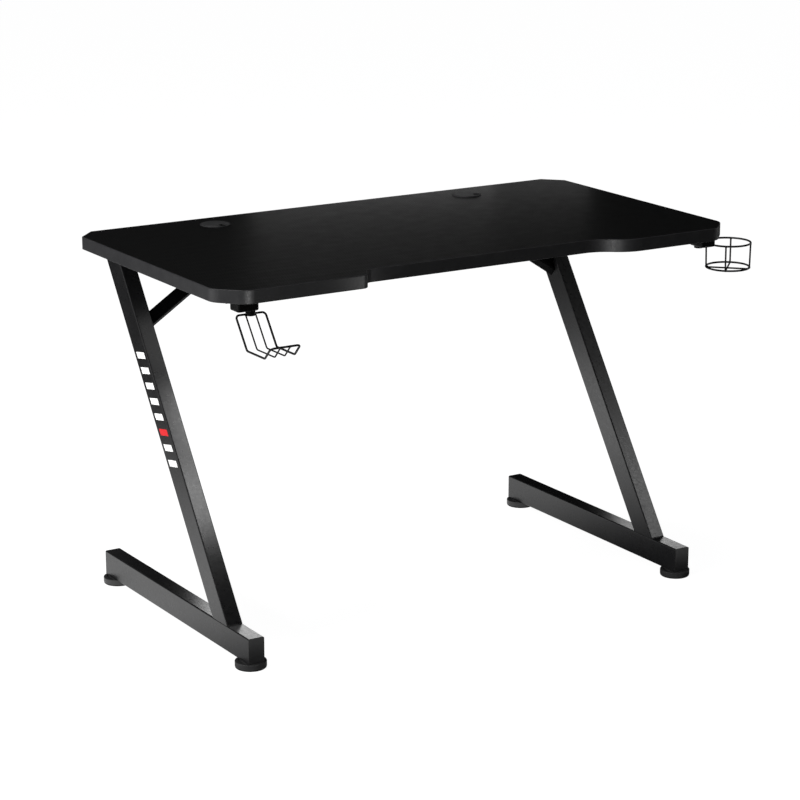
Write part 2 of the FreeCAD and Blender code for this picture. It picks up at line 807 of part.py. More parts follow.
for side, sign in SIDES.items():
    nodes[side + "_foot_tube"] = foot_tube(sign)
    nodes[side + "_upright"] = upright_tube(sign)
    nodes[side + "_top_beam"] = top_beam(sign)
    nodes[side + "_rail_plate"] = rail_plate(sign)
    nodes[side + "_brace"] = brace(sign)
    nodes[side + "_brace_tab"] = brace_tab(sign)
    nodes[side + "_grommet_sleeve"] = grommet_sleeve(side)
    foot_ends = {"front": foot_front, "back": foot_back}
    beam_ends = {"front": beam_front, "back": beam_back}
    for end, way in ENDS.items():
        corner = side + "_" + end
        foot_middle = foot_bottom + foot_height / 2
        beam_middle = beam_bottom + beam_height / 2
        nodes[corner + "_foot_plug"] = end_plug(sign, way, foot_ends[end], foot_middle, foot_height)
        nodes[corner + "_beam_plug"] = end_plug(sign, way, beam_ends[end], beam_middle, beam_height)
        pad_x = sign * leg_centre_x
        pad_y = foot_ends[end] - way * pad_inset
        nodes[corner + "_pad"] = levelling_pad(pad_x, pad_y)
        nodes[corner + "_sole"] = pad_sole(pad_x, pad_y)
        nodes[corner + "_stem"] = pad_stem(pad_x, pad_y)

os.makedirs("parts", exist_ok=True)
for name, shape in nodes.items():
    shape.exportStep("parts/" + name + ".step")
    print(name, len(shape.Solids), "solids, valid", shape.isValid(), "volume", round(shape.Volume, 1))
print(len(nodes), "nodes; rail at y", round(rail_y, 2), "beams from y", beam_front, "to", round(beam_back, 2))
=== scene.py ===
# %% [markdown]
# A gaming desk, dressed for its portrait.
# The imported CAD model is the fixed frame: every tube, bolt and wire in it has its real size and place.
# This lesson gives those solids their finishes, adds weld beads, screw pockets, drops of dip coat and
# printed bars, and photographs the desk in a small white studio.

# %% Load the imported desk
import bmesh
import bpy
import json
import math
from mathutils import Matrix, Vector


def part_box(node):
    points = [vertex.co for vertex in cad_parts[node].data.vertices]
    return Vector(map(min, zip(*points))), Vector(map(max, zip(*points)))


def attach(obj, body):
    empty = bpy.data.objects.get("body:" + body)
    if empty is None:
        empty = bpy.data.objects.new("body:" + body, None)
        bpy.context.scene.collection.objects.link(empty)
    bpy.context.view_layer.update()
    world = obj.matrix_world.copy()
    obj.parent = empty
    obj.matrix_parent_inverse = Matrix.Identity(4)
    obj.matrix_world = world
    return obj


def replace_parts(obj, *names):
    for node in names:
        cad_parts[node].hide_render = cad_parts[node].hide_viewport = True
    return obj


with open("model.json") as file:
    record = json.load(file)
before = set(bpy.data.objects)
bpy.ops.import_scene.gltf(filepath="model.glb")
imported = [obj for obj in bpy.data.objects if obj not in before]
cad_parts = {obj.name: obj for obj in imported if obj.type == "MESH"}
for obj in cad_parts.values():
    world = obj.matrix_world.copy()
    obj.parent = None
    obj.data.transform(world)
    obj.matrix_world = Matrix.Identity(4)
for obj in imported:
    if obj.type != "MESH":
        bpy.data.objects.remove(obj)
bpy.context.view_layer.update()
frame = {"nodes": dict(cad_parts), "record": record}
desk = frame["nodes"]

# %% [markdown]
# The camera stands in front of the desk's left side, about a metre above the top.
# Its place and lens were worked out from the corners of the top, the feet and the pads in the photograph.
# A long lens from over five metres keeps the side frames nearly parallel, so no shift is needed.

# %% Camera
picture_pixels = 800
focal_pixels = 2596.4
sensor_mm = 36.0
heading = math.radians(31.82)
tilt = math.radians(15.28)

lens = bpy.data.cameras.new("desk_camera")
lens.sensor_fit = "HORIZONTAL"
lens.sensor_width = sensor_mm
lens.lens = focal_pixels * sensor_mm / picture_pixels
lens.clip_end = 60.0
camera = bpy.data.objects.new("desk_camera", lens)
camera.location = (-2.6388, -4.2262, 1.7456)
camera.rotation_euler = (math.pi / 2 - tilt, 0.0, -heading)
bpy.context.scene.collection.objects.link(camera)
bpy.context.scene.camera = camera
bpy.context.scene.view_settings.view_transform = "Standard"
print("lens", round(lens.lens, 1), "mm")

# %% [markdown]
# The studio is white all round, but a lamp-lit white room would flood a black desk with light.
# So the world has two strengths: rays from the camera and from glossy surfaces see plain white,
# and the light that falls on the desk is a softer grey. With one strength for both, either the backdrop
# or the desk would be grey.

# %% White world


def seen_by_eye_or_gloss(tree):
    """Socket that is 1 for camera, glossy and transmission rays, and 0 for the rest."""
    path = tree.nodes.new("ShaderNodeLightPath")
    first = tree.nodes.new("ShaderNodeMath")
    first.operation = "MAXIMUM"
    tree.links.new(path.outputs["Is Camera Ray"], first.inputs[0])
    tree.links.new(path.outputs["Is Glossy Ray"], first.inputs[1])
    second = tree.nodes.new("ShaderNodeMath")
    second.operation = "MAXIMUM"
    tree.links.new(first.outputs[0], second.inputs[0])
    tree.links.new(path.outputs["Is Transmission Ray"], second.inputs[1])
    return second.outputs[0]


world = bpy.data.worlds.new("white_studio")
world.use_nodes = True
bpy.context.scene.world = world
sky = world.node_tree
sky.nodes.clear()
backdrop_white = sky.nodes.new("ShaderNodeBackground")
backdrop_white.inputs["Color"].default_value = (1.0, 1.0, 1.0, 1.0)
backdrop_white.inputs["Strength"].default_value = 1.0
room_light = sky.nodes.new("ShaderNodeBackground")
room_light.inputs["Color"].default_value = (0.97, 0.98, 1.0, 1.0)
room_light.inputs["Strength"].default_value = 0.22
choose = sky.nodes.new("ShaderNodeMixShader")
sky_out = sky.nodes.new("ShaderNodeOutputWorld")
sky.links.new(seen_by_eye_or_gloss(sky), choose.inputs[0])
sky.links.new(room_light.outputs[0], choose.inputs[1])
sky.links.new(backdrop_white.outputs[0], choose.inputs[2])
sky.links.new(choose.outputs[0], sky_out.inputs[0])
print("world: white to the eye, strength", room_light.inputs["Strength"].default_value, "as light")

# %% [markdown]
# The floor is a wide pale disc. Seen directly it is nearly white by itself,
# and the last part of its brightness is real light, so the pads still drop a faint shadow on it.

# %% Pale floor
floor_radius = 22.0
floor_shape = bmesh.new()
bmesh.ops.create_circle(floor_shape, cap_ends=True, segments=96, radius=floor_radius)
floor_mesh = bpy.data.meshes.new("studio_floor")
floor_shape.to_mesh(floor_mesh)
floor_shape.free()
floor = bpy.data.objects.new("studio_floor", floor_mesh)
bpy.context.scene.collection.objects.link(floor)

pale = bpy.data.materials.new("pale_floor")
pale.use_nodes = True
tree = pale.node_tree
tree.nodes.clear()
bounce = tree.nodes.new("ShaderNodeBsdfDiffuse")
bounce.inputs["Color"].default_value = (0.35, 0.35, 0.35, 1.0)
shade = tree.nodes.new("ShaderNodeBsdfDiffuse")
shade.inputs["Color"].default_value = (0.20, 0.20, 0.20, 1.0)
glow = tree.nodes.new("ShaderNodeEmission")
glow.inputs["Color"].default_value = (1.0, 1.0, 1.0, 1.0)
glow.inputs["Strength"].default_value = 0.945
shown = tree.nodes.new("ShaderNodeAddShader")
pick = tree.nodes.new("ShaderNodeMixShader")
out = tree.nodes.new("ShaderNodeOutputMaterial")
tree.links.new(shade.outputs[0], shown.inputs[0])
tree.links.new(glow.outputs[0], shown.inputs[1])
tree.links.new(seen_by_eye_or_gloss(tree), pick.inputs[0])
tree.links.new(bounce.outputs[0], pick.inputs[1])
tree.links.new(shown.outputs[0], pick.inputs[2])
tree.links.new(pick.outputs[0], out.inputs[0])
floor.data.materials.append(pale)
print("floor radius", floor_radius, "m")

# %% [markdown]
# Two soft lamps light the desk: a large one overhead, and one to the left for the edge of the top.
# The left one shows in no gloss, so that it draws no bright line along a tube's corner.
# Flags in a studio keep a lamp off some pieces, and light linking does the same here, with a list of pieces:
# both lamps leave the braces and brackets under the top dark, and the left one the sheet on the top as well.

# %% Soft lamps


def softbox(name, place, aim, along, length, width, watts):
    """Rectangular lamp at place that faces aim, its long side along a direction, unseen by the camera."""
    lamp = bpy.data.lights.new(name, "AREA")
    lamp.shape = "RECTANGLE"
    lamp.size = length
    lamp.size_y = width
    lamp.energy = watts
    holder = bpy.data.objects.new(name, lamp)
    back = (Vector(place) - Vector(aim)).normalized()
    across = Vector(along) - Vector(along).dot(back) * back
    across.normalize()
    holder.location = place
    holder.rotation_euler = Matrix((across, back.cross(across), back)).transposed().to_euler()
    holder.visible_camera = False
    bpy.context.scene.collection.objects.link(holder)
    return holder


overhead_lamp = softbox("overhead_lamp", (-0.8, 0.2, 3.6), (0.0, 0.0, 0.5), (1, 0, 0), 2.6, 2.6, 68.0)
left_lamp = softbox("left_lamp", (-5.0, -0.3, 1.1), (0.0, 0.0, 0.5), (0, 1, 0), 2.4, 1.5, 300.0)
left_lamp.visible_glossy = False
under_top = ["left_brace", "right_brace", "hook_bracket", "hook_swivel", "cup_bracket", "cup_swivel"]
for lamp, dark_nodes in ((overhead_lamp, under_top), (left_lamp, under_top + ["desktop_laminate"])):
    shaded = bpy.data.collections.new(lamp.name + "_shaded")
    for node in dark_nodes:
        shaded.objects.link(desk[node])
    for piece in shaded.collection_objects:
        piece.light_linking.link_state = "EXCLUDE"
    lamp.light_linking.receiver_collection = shaded
print("lamps:", overhead_lamp.name, left_lamp.name)

# %% [markdown]
# A satin black shows mostly what it mirrors, so small strips stand where the camera's line of sight bounces
# to from one face: the fronts of the uprights, the tops of the feet, the back of the top and the recess ends.
# A few large lamps could do this too, but they would turn every other face grey.
# Each strip shows in gloss only and is kept to its own pieces.

# %% Strips that show in gloss
strip_table = (
    # name, place, aim, length, width, watts, pieces that it shows on
    ("left_leg_strip", (-0.35, -0.24, 0.495), (-0.49, -0.045, 0.27), 0.16, 0.14, 0.44, ["left_upright"]),
    ("under_top_strip", (-0.30, -0.13, 0.62), (-0.49, 0.06, 0.42), 0.14, 0.14, 0.38, ["left_upright"]),
    ("high_leg_strip", (-0.41, 0.05, 0.655), (-0.495, 0.15, 0.555), 0.10, 0.10, 0.03, ["left_upright"]),
    ("right_leg_strip", (1.62, -1.24, 1.27), (0.49, -0.15, 0.1), 0.82, 0.30, 5.0, ["right_upright"]),
    ("right_leg_panel", (0.08, 0.55, 0.01), (0.48, -0.10, 0.20), 0.30, 0.45, 0.30,
     ["right_upright", "right_foot_tube"]),
    ("left_foot_strip", (-0.23, 0.22, 0.24), (-0.495, -0.21, 0.063), 0.22, 0.15, 0.42, ["left_foot_tube"]),
    ("right_foot_strip", (0.80, 0.20, 0.22), (0.495, -0.21, 0.063), 0.20, 0.11, 0.20, ["right_foot_tube"]),
    ("top_sheen_strip", (0.32, 0.66, 0.80), (0.05, 0.26, 0.73), 0.54, 0.10, 0.094,
     ["desktop_laminate", "left_grommet_cap", "right_grommet_cap"]),
    ("right_sheen_strip", (0.633, 0.452, 0.79), (0.363, 0.052, 0.72), 0.22, 0.10, 0.018,
     ["desktop_laminate", "right_grommet_cap"]),
    ("recess_end_strip", (-0.65, -1.42, 0.41), (0.286, -0.29, 0.72), 0.50, 0.30, 6.4, ["edge_band"]),
    ("wing_end_strip", (-0.222, -0.404, 0.69), (-0.285, -0.31, 0.718), 0.05, 0.05, 0.028, ["edge_band"]),
)
for name, place, aim, length, width, watts, shown_on in strip_table:
    strip = softbox(name, place, aim, (1, 0, 0), length, width, watts)
    strip.visible_diffuse = False
    flagged = bpy.data.collections.new(name + "_pieces")
    for node in shown_on:
        flagged.objects.link(desk[node])
    strip.light_linking.receiver_collection = flagged
print("strips:", len(strip_table))

# %% [markdown]
# A white room also fills every black face with the same grey, because glossy paint mirrors the room.
# Photographers stand dark cards around a black product for that, faded at the edge, so that each face
# runs from black to grey. A card here is a grid with a darkness stored at each point, which can follow any
# rule, and only glossy rays see it.

# %% A card with a fading darkness


def ease(value, low, high):
    """0 below low, 1 above high and a smooth S between them."""
    t = min(max((value - low) / (high - low), 0.0), 1.0)
    return t * t * (3.0 - 2.0 * t)


def mid(a, b, t):
    """Value between a and b, held at a below t = 0 and at b above t = 1."""
    return a + (b - a) * min(max(t, 0.0), 1.0)


def dark_card(name, corner, side_a, side_b, cells_a, cells_b, darkness):
    """Grid from a corner along two sides; darkness(x, y, z) is 0 for clear and 1 for black."""
    points = [Vector(corner) + Vector(side_a) * (i / cells_a) + Vector(side_b) * (j / cells_b)
              for j in range(cells_b + 1) for i in range(cells_a + 1)]
    row = cells_a + 1
    faces = [(j * row + i, j * row + i + 1, (j + 1) * row + i + 1, (j + 1) * row + i)
             for j in range(cells_b) for i in range(cells_a)]
    mesh = bpy.data.meshes.new(name)
    mesh.from_pydata(points, [], faces)
    shade = mesh.attributes.new("darkness", "FLOAT", "POINT")
    for item, point in zip(shade.data, points):
        item.value = darkness(*point)
    card = bpy.data.objects.new(name, mesh)
    bpy.context.scene.collection.objects.link(card)
    card.visible_camera = False
    card.visible_diffuse = False
    card.visible_shadow = False
    card.visible_transmission = False
    return card


print("cards fade by an S curve, half way at", ease(0.5, 0.0, 1.0))

# %% [markdown]
# Six cards stand around the desk: one lies on the floor, a tall one stands behind the top and a low one behind
# the feet, one stands in front of the uprights, one to the left, and one hangs above the lamps.
# The floor's card has a lighter field, which the sides of the tubes mirror as grey.

# %% Dark cards


def floor_darkness(x, y, z):
    """Black around a light field under and behind the desk, with a clear patch before each foot."""
    lane = x + 0.508 * y
    side = lane + 0.6
    near = ease(y, mid(-0.38, -0.12, side), mid(0.12, 0.45, side))
    far = 1.0 - ease(y, mid(0.20, 0.70, side), mid(1.30, 2.90, side))
    beside = min(abs(x + 0.40), abs(x - 0.60))
    before_feet = ease(-y, 0.34, 0.44) * (1.0 - ease(-y, 0.60, 0.70)) * (1.0 - ease(beside, 0.10, 0.20))
    past_right_end = ease(lane, 1.90, 2.40)
    light = near * far * (1.0 - past_right_end)
    left_front = 0.92 * ease(-y, 0.50, 1.10)
    return max((1.0 - light) * (1.0 - before_feet) * ease(lane, -1.60, -0.90), left_front)


def back_darkness(x, y, z):
    """Nearly black low down and black above."""
    return 0.92 + 0.08 * ease(z, 0.98, 1.22)


def low_darkness(x, y, z):
    """Black low down and clear above half a metre."""
    return 1.0 - ease(z, 0.40, 0.54)


def front_darkness(x, y, z):
    """Clear at the foot and black above."""
    return ease(z, 0.30, 0.70)


def always_dark(x, y, z):
    """Black all over."""
    return 1.0


def left_darkness(x, y, z):
    """Clear at the foot and at the back, and nearly black elsewhere."""
    return 0.9 * ease(z, 0.15, 0.50) * (1.0 - ease(y, -0.40, 0.20))


cards = [
    dark_card("floor_card", (-4.0, -5.0, 0.002), (9.0, 0, 0), (0, 9.0, 0), 180, 180, floor_darkness),
    dark_card("back_card", (-6.0, 3.0, 0.0), (18.0, 0, 0), (0, 0, 9.0), 60, 90, back_darkness),
    dark_card("low_card", (-0.05, 1.2, 0.0), (2.3, 0, 0), (0, 0, 0.6), 2, 24, low_darkness),
    dark_card("front_card", (-1.0, -1.3, 0.3), (5.0, 0, 0), (0, 0, 4.5), 2, 60, front_darkness),
    dark_card("ceiling_card", (-6.0, -5.0, 4.4), (18.0, 0, 0), (0, 8.0, 0), 2, 2, always_dark),
    dark_card("left_card", (-2.6, -4.5, 0.1), (0, 4.7, 0), (0, 0, 4.5), 60, 90, left_darkness),
]
soot = bpy.data.materials.new("soot_card")
soot.use_nodes = True
tree = soot.node_tree
tree.nodes.clear()
shade = tree.nodes.new("ShaderNodeAttribute")
shade.attribute_name = "darkness"
clear = tree.nodes.new("ShaderNodeBsdfTransparent")
black = tree.nodes.new("ShaderNodeBsdfDiffuse")
black.inputs["Color"].default_value = (0.0, 0.0, 0.0, 1.0)
fade = tree.nodes.new("ShaderNodeMixShader")
out = tree.nodes.new("ShaderNodeOutputMaterial")
tree.links.new(shade.outputs["Fac"], fade.inputs[0])
tree.links.new(clear.outputs[0], fade.inputs[1])
tree.links.new(black.outputs[0], fade.inputs[2])
tree.links.new(fade.outputs[0], out.inputs[0])
for card in cards:
    card.data.materials.append(soot)
print("cards:", [card.name for card in cards])

# %% [markdown]
# Finishes come next. They could be pictures wrapped around each piece, but here all of them are worked out from
# the piece's own coordinates in metres, so a grain of half a millimetre is that on every piece, with no seam.
# A small helper starts a finish and returns its nodes, and a second one makes noise, the base of most grains.
# Noise stays near a half, so the part of it from 0.3 to 0.7 is stretched over the full span.

# %% Helpers for finishes
noise_low, noise_high = 0.3, 0.7


def new_finish(name, roughness, specular=0.5, metallic=0.0):
    """A new finish with its node tree, its surface node and the piece's own coordinates."""
    finish = bpy.data.materials.new(name)
    finish.use_nodes = True
    surface = finish.node_tree.nodes["Principled BSDF"]
    surface.inputs["Roughness"].default_value = roughness
    surface.inputs["Specular IOR Level"].default_value = specular
    surface.inputs["Metallic"].default_value = metallic
    place = finish.node_tree.nodes.new("ShaderNodeTexCoord").outputs["Object"]
    return finish, finish.node_tree, surface, place


def grain(tree, place, per_metre, detail=2.0):
    """Noise value with about per_metre features in a metre."""
    noise = tree.nodes.new("ShaderNodeTexNoise")
    noise.inputs["Scale"].default_value = per_metre
    noise.inputs["Detail"].default_value = detail
    tree.links.new(place, noise.inputs["Vector"])
    return noise.outputs["Fac"]


def spread(tree, value, low, high):
    """Maps noise around 0.5 to the span from low to high."""
    node = tree.nodes.new("ShaderNodeMapRange")
    node.inputs["From Min"].default_value = noise_low
    node.inputs["From Max"].default_value = noise_high
    node.inputs["To Min"].default_value = low
    node.inputs["To Max"].default_value = high
    tree.links.new(value, node.inputs["Value"])
    return node.outputs["Result"]


def two_tone(tree, value, dark, light):
    """Colour that goes from dark to light with the noise."""
    ramp = tree.nodes.new("ShaderNodeValToRGB")
    ramp.color_ramp.elements[0].position = noise_low
    ramp.color_ramp.elements[1].position = noise_high
    ramp.color_ramp.elements[0].color = (*dark, 1.0)
    ramp.color_ramp.elements[1].color = (*light, 1.0)
    tree.links.new(value, ramp.inputs["Fac"])
    return ramp.outputs["Color"]


def raise_grain(tree, surface, height, millimetres, strength=1.0):
    """Turns a height value into a bump of that many millimetres."""
    bump = tree.nodes.new("ShaderNodeBump")
    bump.inputs["Distance"].default_value = millimetres / 1000.0
    bump.inputs["Strength"].default_value = strength
    tree.links.new(height, bump.inputs["Height"])
    tree.links.new(bump.outputs["Normal"], surface.inputs["Normal"])


def calc(tree, operation, a, b=None):
    """One maths node; a and b are sockets or plain numbers."""
    node = tree.nodes.new("ShaderNodeMath")
    node.operation = operation
    for socket, value in zip(node.inputs, (a, b)):
        if value is None:
            continue
        if isinstance(value, (int, float)):
            socket.default_value = value
        else:
            tree.links.new(value, socket)
    return node.outputs[0]


print("finish helpers ready")

# %% [markdown]
# The side frames, the rail and the braces are powder coated. The powder melts into a film with a faint
# orange peel of a millimetre or two, a satin sheen and hardly any colour. The braces get a copy with
# little gloss, which is painted shade: it keeps them as dark as the shade under the top.
# Noise of three sizes makes it: a cloudy tone, an uneven gloss and the peel itself as a bump.

# %% Powder coat on the tubes


def powder_coat(name, specular, low_rough, high_rough):
    """Black film with a cloudy tone, an uneven gloss and a fine orange peel."""
    finish, tree, surface, place = new_finish(name, low_rough, specular)
    cloud = two_tone(tree, grain(tree, place, 14.0, 3.0), (0.0060, 0.0060, 0.0064), (0.0090, 0.0090, 0.0095))
    tree.links.new(cloud, surface.inputs["Base Color"])
    gloss = spread(tree, grain(tree, place, 160.0, 2.0), low_rough, high_rough)
    tree.links.new(gloss, surface.inputs["Roughness"])
    raise_grain(tree, surface, grain(tree, place, 620.0, 1.0), 0.05, 0.6)
    return finish


coat = powder_coat("satin_powder_coat", 0.55, 0.27, 0.34)
# painted shade: a copy of the coat with little gloss keeps the braces as dark as the shade under the top
painted_shade_coat = powder_coat("painted_shade_powder_coat", 0.06, 0.60, 0.70)
print(coat.name, painted_shade_coat.name)

# %% [markdown]
# The top is covered with a black sheet that carries a carbon weave: bundles of fibre, four millimetres wide,
# that go over two and under two. The weave is worked out from whole numbers: which bundle a point is in
# along each way, and whether their sum falls in the first or second half of a count of four.
# Every bundle could be modelled, but at a tenth of a millimetre of height a bump is enough.

# %% Carbon weave on the top


def carbon_sheet():
    """Black weave with two over and two under, crowned across each bundle."""
    finish, tree, surface, place = new_finish("carbon_weave_sheet", 0.40, 0.20)
    bundle = 0.004
    parts = tree.nodes.new("ShaderNodeSeparateXYZ")
    tree.links.new(place, parts.inputs[0])
    along = calc(tree, "DIVIDE", parts.outputs["X"], bundle)
    across = calc(tree, "DIVIDE", parts.outputs["Y"], bundle)
    column = calc(tree, "FLOOR", along)
    row = calc(tree, "FLOOR", across)
    step = calc(tree, "FLOORED_MODULO", calc(tree, "ADD", column, row), 4.0)
    over = calc(tree, "LESS_THAN", step, 1.5)
    crown = []
    for value in (along, across):
        middle = calc(tree, "SUBTRACT", calc(tree, "FRACT", value), 0.5)
        drop = calc(tree, "MULTIPLY", calc(tree, "MULTIPLY", middle, middle), 4.0)
        crown.append(calc(tree, "SUBTRACT", 1.0, drop))
    choice = tree.nodes.new("ShaderNodeMix")
    tree.links.new(over, choice.inputs["Factor"])
    tree.links.new(crown[0], choice.inputs["A"])
    tree.links.new(crown[1], choice.inputs["B"])
    raise_grain(tree, surface, choice.outputs["Result"], 0.10, 0.5)
    tone = tree.nodes.new("ShaderNodeValToRGB")
    tone.color_ramp.elements[0].color = (0.0018, 0.0018, 0.0019, 1.0)
    tone.color_ramp.elements[1].color = (0.0036, 0.0036, 0.0038, 1.0)
    tree.links.new(over, tone.inputs["Fac"])
    tree.links.new(tone.outputs["Color"], surface.inputs["Base Color"])
    fibre = calc(tree, "MULTIPLY", over, 0.10)
    sheen = calc(tree, "ADD", spread(tree, grain(tree, place, 30.0, 3.0), 0.35, 0.39), fibre)
    tree.links.new(sheen, surface.inputs["Roughness"])
    return finish


weave = carbon_sheet()
print(weave.name)

# %% [markdown]
# The edge band, the plugs, the brackets and the grommets are moulded plastic. Each has a fine matt grain,
# and they differ in grey and in gloss. Each could have a recipe of its own, but parts from one maker are alike,
# so one recipe with a few numbers serves for all of them.

# %% Moulded plastics


def moulded(name, dark, light, roughness, grains_per_metre, grain_mm, specular=0.5):
    """Moulded plastic or rubber of two close greys with a fine grain of some height."""
    finish, tree, surface, place = new_finish(name, roughness, specular)
    tree.links.new(two_tone(tree, grain(tree, place, 40.0, 3.0), dark, light), surface.inputs["Base Color"])
    rough = spread(tree, grain(tree, place, 300.0, 2.0), roughness - 0.05, roughness + 0.05)
    tree.links.new(rough, surface.inputs["Roughness"])
    raise_grain(tree, surface, grain(tree, place, grains_per_metre, 2.0), grain_mm, 0.6)
    return finish


band = moulded("matt_edge_band", (0.016, 0.016, 0.017), (0.021, 0.021, 0.022), 0.43, 1500.0, 0.05, 0.45)
plug = moulded("tube_plug_plastic", (0.008, 0.008, 0.0085), (0.012, 0.012, 0.0125), 0.34, 1300.0, 0.05, 0.6)
bracket = moulded("bracket_plastic", (0.0035, 0.0035, 0.0038), (0.0060, 0.0060, 0.0064), 0.50, 1200.0, 0.05,
                  0.25)
grommet = moulded("grommet_plastic", (0.020, 0.020, 0.021), (0.027, 0.027, 0.028), 0.52, 1400.0, 0.04, 0.3)
pad = moulded("pad_plastic", (0.020, 0.020, 0.0205), (0.027, 0.027, 0.0275), 0.40, 900.0, 0.03)
rubber = moulded("sole_rubber", (0.010, 0.010, 0.010), (0.018, 0.018, 0.018), 0.78, 700.0, 0.10, 0.3)
board = moulded("black_melamine", (0.012, 0.012, 0.013), (0.024, 0.024, 0.025), 0.50, 500.0, 0.04)
print([finish.name for finish in (band, plug, bracket, grommet, pad, rubber, board)])

# %% [markdown]
# The hook and the cup holder are steel wire dipped in black plastic, which flows smooth and glossy.
# Bolts are black oxide steel, and the nuts, stems and inserts are zinc plated, with a soft crystal bloom.
# One even gloss could serve for each, but a slightly uneven one breaks up the highlights as real metal does.

# %% Dipped wire and steel


def dipped_wire():
    """Smooth black plastic over wire, with slow waves in it."""
    finish, tree, surface, place = new_finish("dipped_wire", 0.26)
    tree.links.new(two_tone(tree, grain(tree, place, 60.0), (0.005, 0.005, 0.005), (0.009, 0.009, 0.0095)),
                   surface.inputs["Base Color"])
    tree.links.new(spread(tree, grain(tree, place, 220.0), 0.20, 0.32), surface.inputs["Roughness"])
    raise_grain(tree, surface, grain(tree, place, 260.0), 0.02, 0.4)
    return finish


def steel(name, dark, light, low_rough, high_rough, bloom_per_metre):
    """Plated or blackened steel whose tone and gloss vary together."""
    finish, tree, surface, place = new_finish(name, low_rough, 0.5, 1.0)
    bloom = grain(tree, place, bloom_per_metre, 4.0)
    tree.links.new(two_tone(tree, bloom, dark, light), surface.inputs["Base Color"])
    tree.links.new(spread(tree, bloom, low_rough, high_rough), surface.inputs["Roughness"])
    raise_grain(tree, surface, grain(tree, place, 1800.0), 0.02, 0.4)
    return finish


wire = dipped_wire()
black_oxide = steel("black_oxide_steel", (0.020, 0.020, 0.021), (0.045, 0.045, 0.046), 0.30, 0.45, 350.0)
zinc = steel("zinc_plated_steel", (0.50, 0.50, 0.52), (0.66, 0.66, 0.67), 0.26, 0.40, 260.0)
print(wire.name, black_oxide.name, zinc.name)

# %% [markdown]
# Each CAD piece names a material slot in the record. Finishes could be set piece by piece, but a table
# from slot to finish dresses them all, the braces apart, whose low-gloss coat is painted shade,
# and nothing about the solids changes.

# %% Dress the CAD pieces
finish_of_slot = {
    "board": board, "carbon_sheet": weave, "edge_band": band, "frame": coat, "plug": plug,
    "fastener": black_oxide, "zinc": zinc, "pad": pad, "sole": rubber, "grommet": grommet,
    "bracket": bracket, "wire": wire,
}
# the braces take the low-gloss copy of the coat, painted shade for their place under the top
painted_shade_nodes = ("left_brace", "right_brace")
for piece in frame["record"]["subparts"]:
    finish = painted_shade_coat if piece["node"] in painted_shade_nodes else finish_of_slot[piece["material_slot"]]
    mesh = desk[piece["node"]].data
    mesh.materials.clear()
    mesh.materials.append(finish)

# %% [markdown]
# The rest of the pieces are new, so they need a common way in: take the built shape, shade it smooth with
# crisp edges where faces meet at an angle, give it a finish and let it ride on a body.
# A second helper measures the separate solids of a CAD piece, so that new ones can take their places.

# %% Helpers that make a piece and measure solids


def add_piece(name, shape, finish, body, crisp_above=35.0):
    """Makes a piece of a built shape; edges stay crisp where faces meet at more than crisp_above degrees."""
    bmesh.ops.recalc_face_normals(shape, faces=shape.faces)
    mesh = bpy.data.meshes.new(name)
    shape.to_mesh(mesh)
    shape.free()
    for face in mesh.polygons:
        face.use_smooth = True
    mesh.set_sharp_from_angle(angle=math.radians(crisp_above))
    mesh.materials.append(finish)
    made = bpy.data.objects.new(name, mesh)
    bpy.context.scene.collection.objects.link(made)
    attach(made, body)
    print("piece", name, "with", len(mesh.vertices), "points")
    return made


def solids_of(node):
    """Lowest and highest corners of each separate solid in a CAD piece."""
    shape = bmesh.new()
    shape.from_mesh(desk[node].data)
    same_point = 1e-6
    bmesh.ops.remove_doubles(shape, verts=shape.verts, dist=same_point)
    seen = set()
    boxes = []
    for first in shape.verts:
        if first in seen:
            continue
        seen.add(first)
        group = [first]
        for point in group:
            for edge in point.link_edges:
                other = edge.other_vert(point)
                if other not in seen:
                    seen.add(other)
                    group.append(other)
        columns = list(zip(*(point.co for point in group)))
        boxes.append((Vector(map(min, columns)), Vector(map(max, columns))))
    shape.free()
    return boxes


print("desktop bolts found:", len(solids_of("desktop_bolts")))

# %% [markdown]
# The frame is held by button head bolts with a hex pocket, and the brackets by wood screws with a cross.
# A head is round except for its pocket. It could be cut with a boolean, but here every ring of a turned
# profile has an outline of its own, a circle, a hexagon or a cross, which gives clean faces at once.

# %% Turned heads with shaped pockets


def six_sided(angle):
    """Reach of a hexagon at an angle, where its flats are at 1."""
    return 1.0 / math.cos((angle + math.pi / 6) % (math.pi / 3) - math.pi / 6)


def cross_shaped(angle):
    """Reach of a cross at an angle, where its arms end at 1."""
    arm_half_width = 0.32
    turn = angle % (math.pi / 2)
    return min(1.0, arm_half_width / max(math.sin(min(turn, math.pi / 2 - turn)), 0.01))


def turn_solid(shape, seat, outward, rings, sides=48):
    """Adds a turned solid; rings are (radius mm, height mm above the seat, outline or None for a circle)."""
    right = outward.orthogonal().normalized()
    up = outward.cross(right)
    loops = []
    for radius, height, outline in rings:
        loop = []
        for k in range(sides):
            angle = 2 * math.pi * k / sides
            reach = radius * (outline(angle) if outline else 1.0)
            spot = right * (reach * math.cos(angle)) + up * (reach * math.sin(angle)) + outward * height
            loop.append(shape.verts.new(seat + spot / 1000.0))
        loops.append(loop)
    for low, high in zip(loops, loops[1:]):
        for k in range(sides):
            shape.faces.new((low[k], low[(k + 1) % sides], high[(k + 1) % sides], high[k]))
    shape.faces.new(loops[0])
    shape.faces.new(loops[-1])


def bolt_rings(length):
    """Button head bolt with a 6 mm shank, from the tip over the head to the bottom of its hex pocket."""
    return [(2.5, -length, None), (3.0, 0.6 - length, None), (3.0, 0.0, None),
            (5.5, 0.0, None), (5.5, 1.1, None), (5.32, 2.0, None), (4.8, 2.75, None),
            (4.0, 3.3, None), (3.1, 3.55, None), (2.5, 3.6, None),
            (2.0, 3.45, six_sided), (2.0, 1.3, six_sided), (0.5, 0.9, None)]


